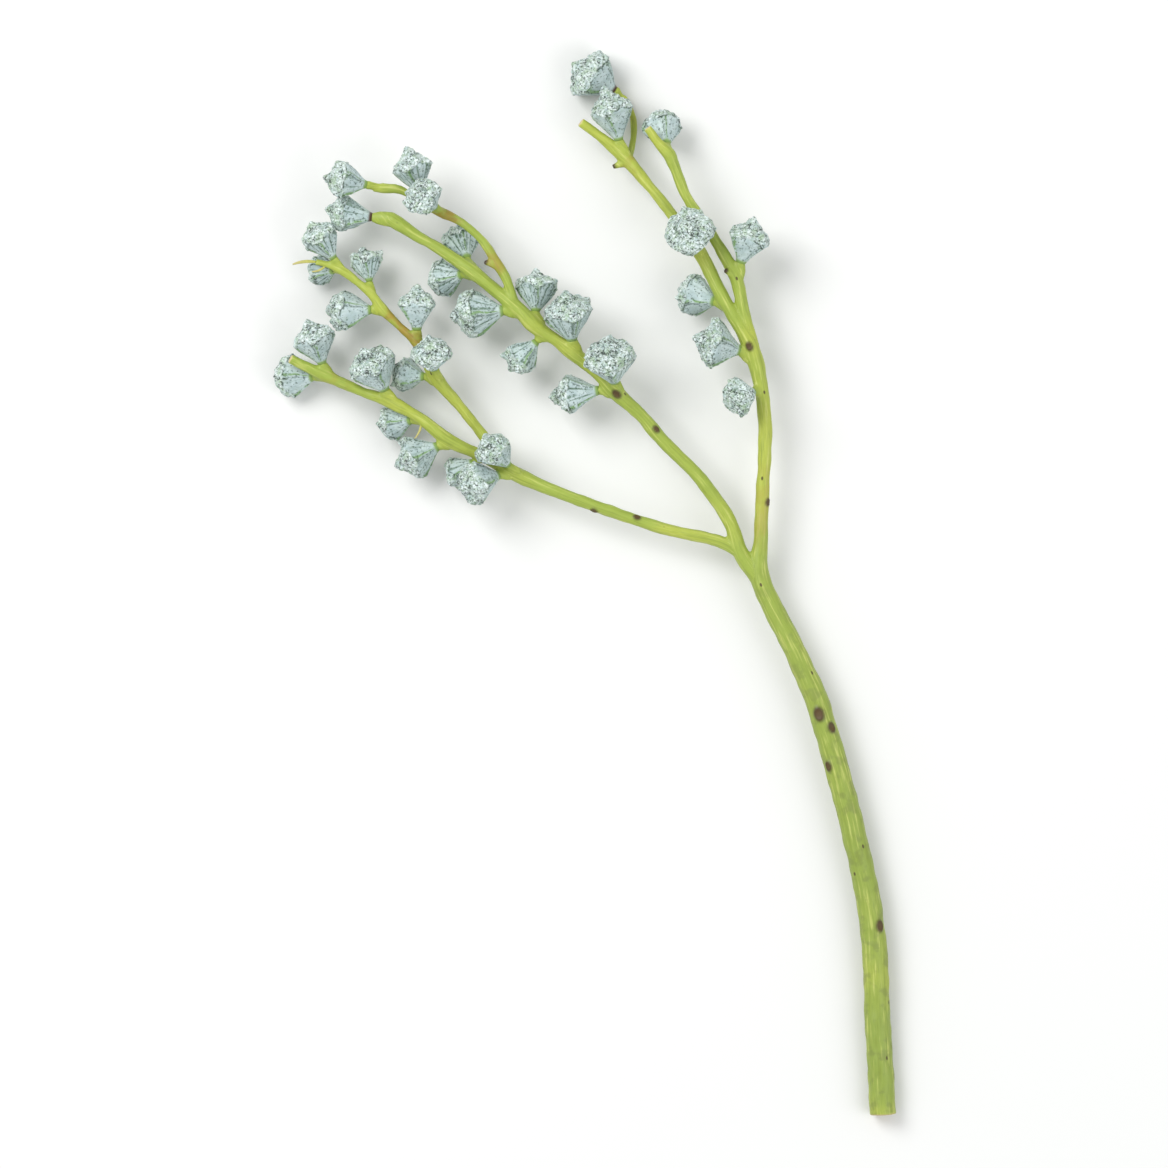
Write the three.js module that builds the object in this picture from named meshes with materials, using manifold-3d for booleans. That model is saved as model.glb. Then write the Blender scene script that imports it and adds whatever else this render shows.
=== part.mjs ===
// Eucalyptus gum nut sprig: one branching stem, cut at its lower end, with warty gum nuts along its side branches.
// It lies on a surface at z = 0. Millimetres, +Z up, +Y from the cut end towards the tips.
// The origin is under the middle of the sprig's box.

import * as THREE from "three";
import { mergeVertices } from "three/addons/utils/BufferGeometryUtils.js";
import Module from "manifold-3d";

const wasm = await Module();
wasm.setup();

// Driving dimensions of the stem
const STALK_LENGTH = 2.6; // from the branch's skin to the foot of a nut
const LEAST_LEAN = 0.45; // sine of the least angle between a stalk and its branch
const STALK_SPREAD = 1.5; // how far the stalk's root runs along its branch, in branch radii
const NUT_CLEARANCE = 0.3; // between a stalk and the nut that sits on it
const TRUNK_SIDES = 10;
const BRANCH_SIDES = 8;
const TWIG_SIDES = 6;
const STALK_SIDES = 6;
const RING_STEP = 12; // along the limbs
const SCAR_PROUD = 0.7;
const LEAF_THICKNESS = 0.7;

// Driving dimensions of a gum nut, as shares of its own width and length
const FOOT_RADIUS = 0.24;
const RIB_RISE = 0.13; // how far the four corners stand out of the round
const FACE_HOLLOW = 0.08; // how far the faces between them fall back
const WART_HEIGHT = 0.45; // millimetres
const HORN_HEIGHT = 1.6; // millimetres, at the largest corner of a cap
const NUT_RINGS = [
  { height: 0, radius: FOOT_RADIUS, ribbed: 0, warty: 0 },
  { height: 0.14, radius: 0.5, ribbed: 0.5, warty: 0 },
  { height: 0.32, radius: 0.8, ribbed: 1, warty: 0 },
  { height: 0.48, radius: 0.94, ribbed: 1, warty: 0 },
  { height: 0.56, radius: 0.99, ribbed: 0.8, warty: 0.5 },
  { height: 0.68, radius: 0.98, ribbed: 0.5, warty: 1 },
  { height: 0.78, radius: 0.84, ribbed: 0.3, warty: 1 },
  { height: 0.85, radius: 0.58, ribbed: 0.1, warty: 1 },
  { height: 0.89, radius: 0.34, ribbed: 0, warty: 0.5 },
  { height: 0.96, radius: 0.26, ribbed: 0, warty: 0.5 },
];
const HORN_RINGS = [5, 6]; // on the cap's shoulder
const CORNERS = 4;
const CORNER_ANGLES = [0, 20, 45, 70]; // degrees from one corner to the next

// Each limb's middle line from its root to its tip: x, y, height above the surface, and the radius there.
const LIMBS = {
  trunk: {
    sides: TRUNK_SIDES,
    line: [
      [139, -247, 5.7, 6.2],
      [137, -212, 6.5, 6.1],
      [134, -159, 8.5, 5.9],
      [126, -119, 10.5, 5.7],
      [119, -91, 12, 5.7],
      [112, -67, 13, 5.6],
      [106, -49, 13.8, 5.5],
      [95, -25, 14.6, 5],
      [82, 2, 15.5, 4.7],
      [82, 23, 16.5, 3.4],
      [83, 49, 18, 3.2],
      [84, 72, 19.5, 3.3],
      [82, 91, 21, 3.4],
      [77, 111, 22.5, 3.9],
      [66, 130, 22.5, 3.1],
      [53, 155, 21.5, 3.3],
      [42, 170, 20.5, 2.6],
      [31, 184, 19, 2.6],
      [22, 195, 17, 3],
      [18, 199, 16.3, 3.3],
      [9, 207, 17.5, 2.4],
      [-2, 215, 19, 2.1],
    ],
  },
  right: {
    sides: BRANCH_SIDES,
    line: [
      [79, 110, 22.5, 2.6],
      [74, 126, 23, 2.7],
      [70, 143, 23.5, 3.3],
      [60, 161, 23.5, 2.6],
      [48, 179, 24, 2.5],
      [42, 193, 25.5, 2.6],
      [39, 200, 26.5, 3.1],
      [34, 205, 27.3, 2.3],
      [29, 212, 27.8, 2],
    ],
  },
  upper: {
    sides: BRANCH_SIDES,
    line: [
      [83, -1, 15.5, 3.4],
      [77, 8, 16, 3.6],
      [72, 16, 16.6, 3.7],
      [67, 30, 17.6, 3.4],
      [54, 49, 19.5, 3.2],
      [37, 66, 21, 3.1],
      [26, 79, 22, 3],
      [15, 89, 23, 3.6],
      [5, 99, 23.6, 3],
      [-5, 107, 24, 3.5],
      [-14, 114, 24.4, 3],
      [-23, 120, 24.6, 3.8],
      [-31, 128, 24.6, 3.5],
      [-43, 138, 24, 3],
      [-53, 146, 23.3, 3.5],
      [-66, 155, 22.8, 2.7],
      [-78, 162, 22.3, 2.7],
      [-90, 170, 21.8, 3.4],
      [-94, 174, 21.8, 2.6],
    ],
  },
  side: {
    sides: TWIG_SIDES,
    line: [
      [-31, 126, 24.6, 2],
      [-36, 141, 26, 2.3],
      [-40, 148, 26.8, 2.6],
      [-47, 159, 27.6, 1.9],
      [-57, 168, 28.2, 1.9],
      [-67, 173, 28.4, 2.4],
      [-75, 177, 28.2, 2.2],
      [-85, 183, 27.6, 1.9],
      [-94, 184, 27, 2.4],
      [-98, 184, 26.8, 1.8],
    ],
  },
  lower: {
    sides: BRANCH_SIDES,
    line: [
      [74, 13, 16.4, 2.6],
      [63, 20, 17, 2.9],
      [37, 26, 17.4, 2.8],
      [15, 33, 17.8, 2.8],
      [-10, 42, 18.2, 2.8],
      [-31, 51, 18.6, 3.4],
      [-48, 60, 18.6, 2.6],
      [-63, 67, 19, 3.2],
      [-76, 77, 19.4, 2.6],
      [-90, 85, 18.8, 3.1],
      [-104, 90, 17.6, 2.3],
      [-120, 97, 17.4, 3],
      [-131, 102, 18.8, 2.2],
      [-137, 105, 20, 2],
    ],
  },
  lower_side: {
    sides: TWIG_SIDES,
    line: [
      [-35, 53, 18.6, 2.2],
      [-47, 69, 13.5, 2.5],
      [-58, 83, 15.5, 2.5],
      [-69, 96, 18.5, 3.2],
      [-78, 112, 20, 2.4],
      [-86, 120, 20, 1.9],
      [-94, 128, 20, 2.4],
      [-99, 135, 20, 2.2],
      [-106, 141, 19.8, 1.8],
      [-113, 146, 19.6, 2.2],
      [-120, 149, 19.4, 1.6],
      [-125, 150, 19.4, 1.4],
    ],
  },
  top_twig: {
    sides: TWIG_SIDES,
    line: [
      [20, 197, 14.5, 1.8],
      [22, 204, 8, 1.5],
      [23, 212, 5, 1.5],
      [22, 220, 5.2, 1.5],
      [18.5, 226, 6.9, 1.9],
    ],
  },
};

// Each nut: the limb that carries it, its place there counted in points of the line, the way its axis runs,
// seen from above and upwards, both in degrees, its width and length, and how far its corners are turned.
const NUTS = [
  { limb: "side", at: 8, azimuth: 168, rise: 8, width: 16, length: 20, turn: 10 },
  { limb: "upper", at: 16.9, azimuth: 172, rise: -5, width: 17, length: 22, turn: 40 },
  { limb: "side", at: 6, azimuth: 107, rise: 5, width: 17, length: 22, turn: 0 },
  { limb: "side", at: 5, azimuth: 140, rise: 50, width: 17, length: 19, turn: 20 },
  { limb: "upper", at: 14, azimuth: 108, rise: -35, width: 16, length: 19, turn: 30 },
  { limb: "upper", at: 13.9, azimuth: 190, rise: -38, width: 16, length: 19, turn: 0 },
  { limb: "lower_side", at: 9, azimuth: 123, rise: 8, width: 15, length: 20, turn: 15 },
  { limb: "lower_side", at: 9, azimuth: 178, rise: -45, width: 13, length: 16, turn: 50 },
  { limb: "lower_side", at: 7, azimuth: 100, rise: -10, width: 13, length: 16, turn: 5 },
  { limb: "lower_side", at: 6, azimuth: 182, rise: -12, width: 17, length: 22, turn: 25 },
  { limb: "lower_side", at: 4, azimuth: 90, rise: 5, width: 18, length: 21, turn: 45 },
  { limb: "lower_side", at: 3, azimuth: 100, rise: 48, width: 17, length: 17, turn: 0 },
  { limb: "lower_side", at: 3, azimuth: 172, rise: -25, width: 15, length: 17, turn: 35 },
  { limb: "lower", at: 11, azimuth: 109, rise: 10, width: 18, length: 22, turn: 12 },
  { limb: "lower", at: 11, azimuth: 180, rise: -30, width: 18, length: 21, turn: 0 },
  { limb: "lower", at: 9, azimuth: 117, rise: 20, width: 20, length: 23, turn: 30 },
  { limb: "lower", at: 8, azimuth: 186, rise: -35, width: 15.6, length: 18, turn: 5 },
  { limb: "lower", at: 7, azimuth: 206, rise: -7, width: 18.5, length: 22, turn: 20 },
  { limb: "lower", at: 5.2, azimuth: 200, rise: 25, width: 18, length: 21, turn: 0 },
  { limb: "lower", at: 6, azimuth: 220, rise: -30, width: 15, length: 17, turn: 40 },
  { limb: "lower", at: 5, azimuth: 135, rise: 33, width: 15.8, length: 20, turn: 15 },
  { limb: "upper", at: 11, azimuth: 88, rise: -12, width: 17, length: 20, turn: 0 },
  { limb: "upper", at: 9, azimuth: 98, rise: 20, width: 21, length: 24, turn: 25 },
  { limb: "upper", at: 7, azimuth: 102, rise: 40, width: 22, length: 24, turn: 10 },
  { limb: "upper", at: 7.2, azimuth: 187, rise: -12, width: 18, length: 24, turn: 45 },
  { limb: "upper", at: 12, azimuth: 186, rise: -6, width: 20, length: 25, turn: 0 },
  { limb: "upper", at: 10.5, azimuth: 226, rise: -12, width: 15, length: 19, turn: 20 },
  { limb: "top_twig", at: 4, azimuth: 144, rise: 10, width: 24, length: 23, turn: 15 },
  { limb: "trunk", at: 19, azimuth: 105, rise: 10, width: 18, length: 26, turn: 0 },
  { limb: "right", at: 6, azimuth: 104, rise: -42, width: 17, length: 20, turn: 30 },
  { limb: "trunk", at: 15, azimuth: 118, rise: 60, width: 22, length: 22, turn: 5 },
  { limb: "right", at: 2, azimuth: 70, rise: 10, width: 20, length: 22, turn: 20 },
  { limb: "trunk", at: 14, azimuth: 162, rise: -30, width: 19, length: 21, turn: 40 },
  { limb: "trunk", at: 12.8, azimuth: 165, rise: 12, width: 21, length: 23, turn: 0 },
  { limb: "trunk", at: 12, azimuth: 200, rise: 45, width: 16, length: 17, turn: 10 },
];

// Leaf scars: raised ovals on the bark, at an angle round the limb that is counted from its top.
const SCARS = [
  { limb: "trunk", at: 2, angle: 35, size: 6 },
  { limb: "trunk", at: 4.3, angle: -40, size: 5 },
  { limb: "trunk", at: 5, angle: 30, size: 5.5 },
  { limb: "trunk", at: 5.4, angle: -10, size: 7 },
  { limb: "trunk", at: 9.6, angle: 50, size: 4 },
  { limb: "trunk", at: 13, angle: -10, size: 4.6 },
  { limb: "upper", at: 5.4, angle: 20, size: 4 },
  { limb: "upper", at: 7, angle: -8, size: 5 },
  { limb: "lower", at: 2.6, angle: 30, size: 3.8 },
  { limb: "lower", at: 3.4, angle: -50, size: 3.6 },
];

// Broken stubs of lost twigs
const STUBS = [
  { limb: "side", at: 2, azimuth: 165, rise: 10, length: 5.5, radius: 1.3 },
  { limb: "right", at: 2, azimuth: 150, rise: 35, length: 5.5, radius: 1.3 },
  { limb: "trunk", at: 18.4, azimuth: 200, rise: 5, length: 6, radius: 1.3 },
];

// Dried remnants of leaves at the shoot tips: where each starts, the way it runs, and how it bends to the side.
const LEAVES = [
  { limb: "lower_side", at: 11, azimuth: 172, rise: 8, length: 11, width: 2.2, bend: 30 },
  { limb: "lower_side", at: 10, azimuth: 235, rise: 0, length: 8, width: 1.6, bend: -60 },
  { limb: "lower", at: 8, azimuth: 275, rise: 10, length: 10, width: 1.6, bend: -50 },
];

// The same draw between 0 and 1 for the same pair of whole numbers
const draw = (a, b) => ((a * 7919 + b * 6151 + a * b * 37) % 997) / 997;
const radians = (degrees) => (degrees * Math.PI) / 180;

function towards(azimuth, rise) {
  const flat = Math.cos(radians(rise));
  const x = flat * Math.cos(radians(azimuth));
  const y = flat * Math.sin(radians(azimuth));
  return new THREE.Vector3(x, y, Math.sin(radians(rise)));
}

// One column of a limb's line at a place on it, on a smooth curve through all the points
function alongColumn(line, place, column) {
  const last = line.length - 1;
  const i = Math.min(Math.floor(place), last - 1);
  const f = place - i;
  const value = (k) => line[k][column];
  const here = value(i);
  const next = value(i + 1);
  const before = i > 0 ? value(i - 1) : 2 * here - next;
  const after = i + 2 <= last ? value(i + 2) : 2 * next - here;
  const slope = (next - before) / 2;
  const endSlope = (after - here) / 2;
  const square = f * f;
  const cube = square * f;
  return (
    here * (2 * cube - 3 * square + 1) +
    slope * (cube - 2 * square + f) +
    next * (3 * square - 2 * cube) +
    endSlope * (cube - square)
  );
}

function limbAt(name, place) {
  const { line } = LIMBS[name];
  const nudge = 0.02;
  const point = (p) => new THREE.Vector3(...[0, 1, 2].map((column) => alongColumn(line, p, column)));
  const back = Math.max(place - nudge, 0);
  const ahead = Math.min(place + nudge, line.length - 1);
  return {
    point: point(place),
    tangent: point(ahead).sub(point(back)).normalize(),
    radius: alongColumn(line, place, 3),
  };
}

// Two directions across a given one: the first as near to the wish as it can be
function across(direction, wish) {
  const first = wish.clone().addScaledVector(direction, -wish.dot(direction)).normalize();
  return [first, direction.clone().cross(first)];
}

// A ring of points round a centre, an ellipse of the two half sizes
function ring(centre, [first, second], halfFirst, halfSecond, sides) {
  return Array.from({ length: sides }, (_, k) => {
    const angle = ((k + 0.5) / sides) * 2 * Math.PI;
    return centre
      .clone()
      .addScaledVector(first, halfFirst * Math.cos(angle))
      .addScaledVector(second, halfSecond * Math.sin(angle));
  });
}

// The closed surface over a row of rings, with a flat fan on each end
function loft(rings, startPoint, endPoint) {
  const sides = rings[0].length;
  const points = [...rings.flat(), startPoint, endPoint];
  const start = points.length - 2;
  const end = points.length - 1;
  const index = [];
  for (let j = 0; j + 1 < rings.length; j++) {
    for (let k = 0; k < sides; k++) {
      const a = j * sides + k;
      const b = j * sides + ((k + 1) % sides);
      index.push(a, b, b + sides, a, b + sides, a + sides);
    }
  }
  const top = (rings.length - 1) * sides;
  for (let k = 0; k < sides; k++) {
    const next = (k + 1) % sides;
    index.push(start, next, k, end, top + k, top + next);
  }
  const geometry = new THREE.BufferGeometry();
  geometry.setAttribute("position", new THREE.Float32BufferAttribute(points.flatMap((p) => p.toArray()), 3));
  geometry.setIndex(index);
  return geometry;
}

function middle(points) {
  const sum = new THREE.Vector3();
  points.forEach((p) => sum.add(p));
  return sum.divideScalar(points.length);
}

function closed(rings) {
  return loft(rings, middle(rings[0]), middle(rings[rings.length - 1]));
}

function limbShape(name) {
  const { line, sides } = LIMBS[name];
  const rings = [];
  for (let i = 0; i + 1 < line.length; i++) {
    const [x0, y0] = line[i];
    const [x1, y1] = line[i + 1];
    const steps = Math.max(1, Math.round(Math.hypot(x1 - x0, y1 - y0) / RING_STEP));
    for (let k = 0; k < steps; k++) rings.push(limbRing(name, i + k / steps, sides));
  }
  rings.push(limbRing(name, line.length - 1, sides));
  return closed(rings);
}

function limbRing(name, place, sides) {
  const { point, tangent, radius } = limbAt(name, place);
  const up = new THREE.Vector3(0, 0, 1);
  return ring(point, across(tangent, up), radius, radius, sides);
}

// Where a nut sits: the point on its branch, the foot of the nut, and its axis
function seat(nut) {
  const { point, tangent, radius } = limbAt(nut.limb, nut.at);
  const axis = towards(nut.azimuth, nut.rise);
  const lean = Math.sqrt(1 - axis.dot(tangent) ** 2);
  const skin = radius / Math.max(lean, LEAST_LEAN);
  const foot = point.clone().addScaledVector(axis, skin + STALK_LENGTH);
  return { point, tangent, radius, axis, lean, skin, foot };
}

// The short flared stalk under a nut: wide along the branch at its root, round under the nut
function stalkShape(nut) {
  const { point, tangent, radius, axis, lean, skin, foot } = seat(nut);
  const sideways = across(axis, tangent);
  const root = radius * (0.8 + (STALK_SPREAD - 0.8) * lean);
  const neck = (nut.width / 2) * FOOT_RADIUS * 1.08;
  const shoulder = point.clone().addScaledVector(axis, skin * 0.95);
  const top = foot.clone().addScaledVector(axis, -NUT_CLEARANCE);
  return closed([
    ring(point, sideways, root, radius * 0.6, STALK_SIDES),
    ring(shoulder, sideways, (root + neck) / 2, neck, STALK_SIDES),
    ring(top, sideways, neck, neck, STALK_SIDES),
  ]);
}

// An oval pad that stands a little out of the bark
function scarShape(scar) {
  const { point, tangent, radius } = limbAt(scar.limb, scar.at);
  const [up, sideways] = across(tangent, new THREE.Vector3(0, 0, 1));
  const angle = radians(scar.angle);
  const out = up.multiplyScalar(Math.cos(angle)).addScaledVector(sideways, Math.sin(angle));
  const acrossBark = out.clone().cross(tangent);
  const centre = point.clone().addScaledVector(out, radius - SCAR_PROUD);
  const geometry = new THREE.SphereGeometry(1, 8, 4);
  geometry.scale(scar.size / 2, scar.size * 0.36, 2 * SCAR_PROUD);
  const turn = new THREE.Matrix4().makeBasis(tangent, acrossBark, out);
  return geometry.applyMatrix4(turn.setPosition(centre));
}

function stubShape(stub) {
  const { point, radius } = limbAt(stub.limb, stub.at);
  const axis = towards(stub.azimuth, stub.rise);
  const sideways = across(axis, new THREE.Vector3(0, 0, 1));
  const tip = point.clone().addScaledVector(axis, stub.length + radius * 0.5);
  const root = stub.radius * 1.4;
  return closed([
    ring(point, sideways, root, root, STALK_SIDES - 2),
    ring(tip, sideways, stub.radius, stub.radius, STALK_SIDES - 2),
  ]);
}

// A narrow blade that tapers to its tip and bends evenly to one side
function leafShape(leaf) {
  const { point } = limbAt(leaf.limb, leaf.at);
  const steps = 6;
  const stepLength = leaf.length / steps;
  const rings = [];
  const centre = point.clone();
  for (let k = 0; k <= steps; k++) {
    const f = k / steps;
    const axis = towards(leaf.azimuth + leaf.bend * f, leaf.rise * (1 - f));
    const half = (leaf.width / 2) * (0.45 + 1.1 * f - 1.25 * f * f);
    const thick = (LEAF_THICKNESS / 2) * (1 - 0.1 * f);
    const [up, sideways] = across(axis, new THREE.Vector3(0, 0, 1));
    rings.push(ring(centre.clone(), [up, sideways], thick, Math.max(half, thick), STALK_SIDES - 2));
    centre.addScaledVector(axis, stepLength);
  }
  return closed(rings);
}

// A solid from a closed mesh, and back
function solid(geometry) {
  const plain = geometry.clone();
  plain.deleteAttribute("normal");
  plain.deleteAttribute("uv");
  const merged = mergeVertices(plain, 1e-4);
  const vertProperties = new Float32Array(merged.attributes.position.array);
  const triVerts = new Uint32Array(merged.index.array);
  return new wasm.Manifold(new wasm.Mesh({ numProp: 3, vertProperties, triVerts }));
}

function geometryOf(manifold) {
  const { vertProperties, triVerts } = manifold.getMesh();
  const geometry = new THREE.BufferGeometry();
  geometry.setAttribute("position", new THREE.BufferAttribute(vertProperties, 3));
  geometry.setIndex(new THREE.BufferAttribute(triVerts, 1));
  geometry.computeVertexNormals();
  return geometry;
}

// What would reach below the surface is pressed flat on it.
function pressFlat(mesh) {
  mesh.updateMatrixWorld(true);
  const { position } = mesh.geometry.attributes;
  const corner = new THREE.Vector3();
  for (let i = 0; i < position.count; i++) {
    corner.fromBufferAttribute(position, i).applyMatrix4(mesh.matrixWorld);
    if (corner.z < 0) {
      corner.z = 0;
      mesh.worldToLocal(corner);
      position.setXYZ(i, corner.x, corner.y, corner.z);
    }
  }
  return mesh;
}

function stem() {
  const shapes = [
    ...Object.keys(LIMBS).map(limbShape),
    ...NUTS.map(stalkShape),
    ...SCARS.map(scarShape),
    ...STUBS.map(stubShape),
    ...LEAVES.map(leafShape),
  ];
  const joined = shapes.map(solid).reduce((whole, piece) => whole.add(piece));
  const green = new THREE.MeshStandardMaterial({ color: 0xa7b83f, roughness: 0.6, metalness: 0 });
  const mesh = new THREE.Mesh(geometryOf(joined), green);
  mesh.name = "stem";
  return pressFlat(mesh);
}

// One nut with its foot at its own origin and its axis up: four ribbed corners, a rim, a warty cap and a knob
function nutShape(nut, seed) {
  const halfWidth = nut.width / 2;
  const horns = Array.from({ length: CORNERS }, (_, corner) => 0.25 + 0.75 * draw(seed, corner + 1));
  const rings = NUT_RINGS.map(({ height, radius, ribbed, warty }, j) =>
    Array.from({ length: CORNERS * CORNER_ANGLES.length }, (_, k) => {
      const corner = Math.floor(k / CORNER_ANGLES.length);
      const step = k % CORNER_ANGLES.length;
      const angle = radians(corner * 90 + CORNER_ANGLES[step]);
      const onCorner = step === 0 ? 1 : 0;
      const onFace = step === 2 ? 1 : 0.35 * (1 - onCorner);
      const shaped = radius * (1 + ribbed * (RIB_RISE * onCorner - FACE_HOLLOW * onFace));
      const wart = WART_HEIGHT * warty * (2 * draw(seed + j, k + 3) - 1);
      const horn = onCorner && HORN_RINGS.includes(j) ? HORN_HEIGHT * horns[corner] : 0;
      const r = shaped * halfWidth + wart + horn * 0.5;
      return new THREE.Vector3(r * Math.cos(angle), r * Math.sin(angle), height * nut.length + wart + horn * 0.7);
    }),
  );
  rings[0].forEach((p) => p.setZ(0));
  return loft(rings, new THREE.Vector3(0, 0, 0), new THREE.Vector3(0, 0, nut.length));
}

function gumNut(nut, k) {
  const bloom = new THREE.MeshStandardMaterial({ color: 0xb4c5c3, roughness: 0.85, metalness: 0 });
  const mesh = new THREE.Mesh(nutShape(nut, k + 1), bloom);
  const { foot, axis } = seat(nut);
  mesh.geometry.rotateZ(radians(nut.turn));
  mesh.position.copy(foot);
  mesh.quaternion.setFromUnitVectors(new THREE.Vector3(0, 0, 1), axis);
  mesh.name = `gum_nut_${String(k + 1).padStart(2, "0")}`;
  return pressFlat(mesh);
}

const sprig = new THREE.Group();
sprig.add(stem());
NUTS.forEach((nut, k) => sprig.add(gumNut(nut, k)));

export default sprig;
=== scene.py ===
# Eucalyptus gum nut sprig: one leafless stem with four-ribbed gum nuts, lying on a pale surface.
import math
from collections import namedtuple

import bpy
import numpy as np
from mathutils import Matrix, Vector


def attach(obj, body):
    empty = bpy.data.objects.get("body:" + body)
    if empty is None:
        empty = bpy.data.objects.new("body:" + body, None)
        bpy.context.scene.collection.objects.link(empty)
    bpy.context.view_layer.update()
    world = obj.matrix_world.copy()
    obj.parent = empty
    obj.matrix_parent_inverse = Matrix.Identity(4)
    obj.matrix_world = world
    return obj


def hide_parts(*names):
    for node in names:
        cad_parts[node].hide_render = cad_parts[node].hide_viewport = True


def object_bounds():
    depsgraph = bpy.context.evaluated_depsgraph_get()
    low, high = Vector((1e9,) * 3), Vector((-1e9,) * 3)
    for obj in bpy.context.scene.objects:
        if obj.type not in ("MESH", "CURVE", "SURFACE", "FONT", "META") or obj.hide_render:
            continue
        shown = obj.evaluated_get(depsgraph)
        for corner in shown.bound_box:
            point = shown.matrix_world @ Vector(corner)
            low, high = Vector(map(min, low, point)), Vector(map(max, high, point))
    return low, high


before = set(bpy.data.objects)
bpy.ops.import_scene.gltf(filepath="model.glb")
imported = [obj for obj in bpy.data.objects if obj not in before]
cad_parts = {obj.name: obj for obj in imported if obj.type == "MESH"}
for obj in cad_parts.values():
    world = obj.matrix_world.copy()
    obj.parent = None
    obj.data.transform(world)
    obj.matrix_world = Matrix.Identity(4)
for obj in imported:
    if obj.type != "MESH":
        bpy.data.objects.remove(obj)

cad_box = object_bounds()
MM = 0.001
UP = np.array([0.0, 0.0, 1.0])
FULL_TURN = 2 * math.pi

Nut = namedtuple("Nut", "limb place azimuth rise width length turn wear")
Seat = namedtuple("Seat", "point tangent radius axis lean skin foot")

# Sizes of the stem, in millimetres unless a comment says otherwise
LIMB_STEP = 3.0  # between the rings of a limb
LIMB_SIDES = 20
LIMB_SWELL = 0.02  # how much a limb's section swells and shrinks, as a share of its radius
STALK_LENGTH = 2.6  # from the branch's skin to the foot of a nut
STALK_SIDES = 16
STALK_SPREAD = 1.5  # how far a stalk's root runs along its branch, in branch radii
STALK_LEAST_SPREAD = 0.8  # the same for a stalk that leans right along its branch
STALK_NECK = 1.04  # a stalk's neck beside the foot of its nut
LEAST_LEAN = 0.45  # sine of the least angle between a stalk and its branch
NUT_CLEARANCE = 0.3  # between a stalk and the nut on it
STUB_ROOT = 0.5  # how far a stub's length is counted from inside its branch, in branch radii
LEAF_THICKNESS = 0.7
LEAF_THINNING = 0.35  # share of the thickness that is lost towards the tip
LEAF_STEPS = 18
LEAF_SIDES = 10

# Along a stub from its root: share of its reach, and how wide it is beside its own radius
STUB_PROFILE = [(0, 1.7), (0.45, 1.5), (0.65, 1.1), (0.9, 0.95), (1.0, 0.8)]

# The bark, in millimetres
SKIN_CELL = 0.68  # fineness of its mesh
SMOOTHING = (0.55, -0.57)  # one step that evens the mesh out, and one that keeps it from shrinking
SMOOTHING_ROUNDS = 3
GRAIN_STEP = 1.5  # between the places that the grain is measured from
GRAIN_BLOCK = 20000  # points that are measured at once
THIN_CORE = 0.2  # nearer to the middle line than this, the way out fades
UNEVENNESS = [(0.16, 17, 11), (0.06, 5, 12)]  # height, length and seed of its slow waves
SCAR_HALF_WIDTH = 0.36  # beside the scar's length
SCAR_RIM_RISE = 0.5
SCAR_FLOOR_RISE = 0.3
BROWN_FADE = 0.3  # how far a brown stretch fades at its ends, in points of the middle line
CUT_REACH = 1.4  # how far from its middle an end looks cut, in limb radii
CUT_DEPTH = (-0.6, -0.15)  # where the cut face starts and is full, along the limb
BROKEN_REACH = (2.4, 1.0)  # from a stub's tip: where the broken wood starts and is full
NECK_REACH = (4.2, 2.2)  # the same for the greener neck, from a nut's foot
AGED_AND_SHADED_RADIUS = (3.6, 6.2)  # between these radii bark goes from young to old, and darker, partly as painted shade

# Sizes of a gum nut, as shares of its own half width or length unless a comment says otherwise
NUT_SIDES = 112
NUT_ROWS = 84
USUAL_LENGTH, USUAL_HALF_WIDTH = 22, 9  # of a nut, in millimetres, for the spacing of the rows
FOOT_RADIUS = 0.24
FOOT_TUCK = 0.96  # how much the foot narrows inside its stalk
FOOT_OVERLAP = 0.4  # millimetres that the foot reaches into its stalk
RIB_RISE = 0.18
RIB_HALF_ANGLE = 6  # degrees
RIB_WANDER = [(2.2, 9, 1), (1.4, 23, 2)]  # degrees, how often along the nut, change from nut to nut
CORNER_RISE = 0.02
CORNER_HALF_ANGLE = 18  # degrees
FACE_HOLLOW = 0.1
PEAK_SHARE = 0.45  # the most that a nut with a round cap takes from the pointed one
RIM_HEIGHT = 0.53  # where the cap's edge runs

# The cap's edge and its surface, in millimetres unless a comment says otherwise
EDGE_ARCH = 0.9
EDGE_SLANT = 0.5
EDGE_JAGS = 0.35
CREASE_DEPTH = 0.24
CREASE_HALF_WIDTH = 0.35
LIP_RISE, LIP_LEVEL, LIP_HALF_HEIGHT = 0.3, 0.8, 0.55  # its level is counted from the edge
SPECKS_BELOW = 2.4  # how far below the edge the specks go at a rib
SPECKS_HALF_ANGLE = 11  # degrees from the rib
WART_SPACING = 1.6
WART_HEIGHT = 0.44
WART_TRIES = 1600
WART_SLOPE = (0, 0.9)  # from the middle of a furrow: where a wart starts and is full
FURROW_SLOPE = (0.55, 0.1)  # where the furrow starts and is full
BOSSES = 12  # larger lumps among a cap's warts
BOSS_RISE = (0.2, 0.9)
BOSS_RADIUS = (0.8, 1.6)
# Slow lumps: rise, length, seed, and the heights on the nut where they start and are full
LUMPS = [(0.42, 6.5, 200, 0.3, 0.7), (0.16, 2.6, 300, 0.1, 0.5)]
SMOOTH_SHARE = 0.4  # how much of the lumps the smooth sides keep
FOLD_COUNTS = [11, 17, 25, 34]  # folds round the base, from the broad ones to the fine ones
FOLD_FADE = 0.8  # each set of folds beside the one before it
FOLD_DRIFT = 4.5  # radians that a fold strays on its way up
FOLD_DEPTH = (0.07, 0.3)  # the least, and what the deepest have besides
FOLD_TOP = 0.4  # folds are cut off flat above this
HORN_HEIGHT = 2.3
HORN_LEAST = 0.1  # the smallest horn beside the largest
HORN_STRAY = 12  # degrees
HORN_LEVEL = (0.68, 0.75)  # height on the nut
HORN_LEVEL_PEAKED = 0.08  # how much lower the horns are on a pointed cap
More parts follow.
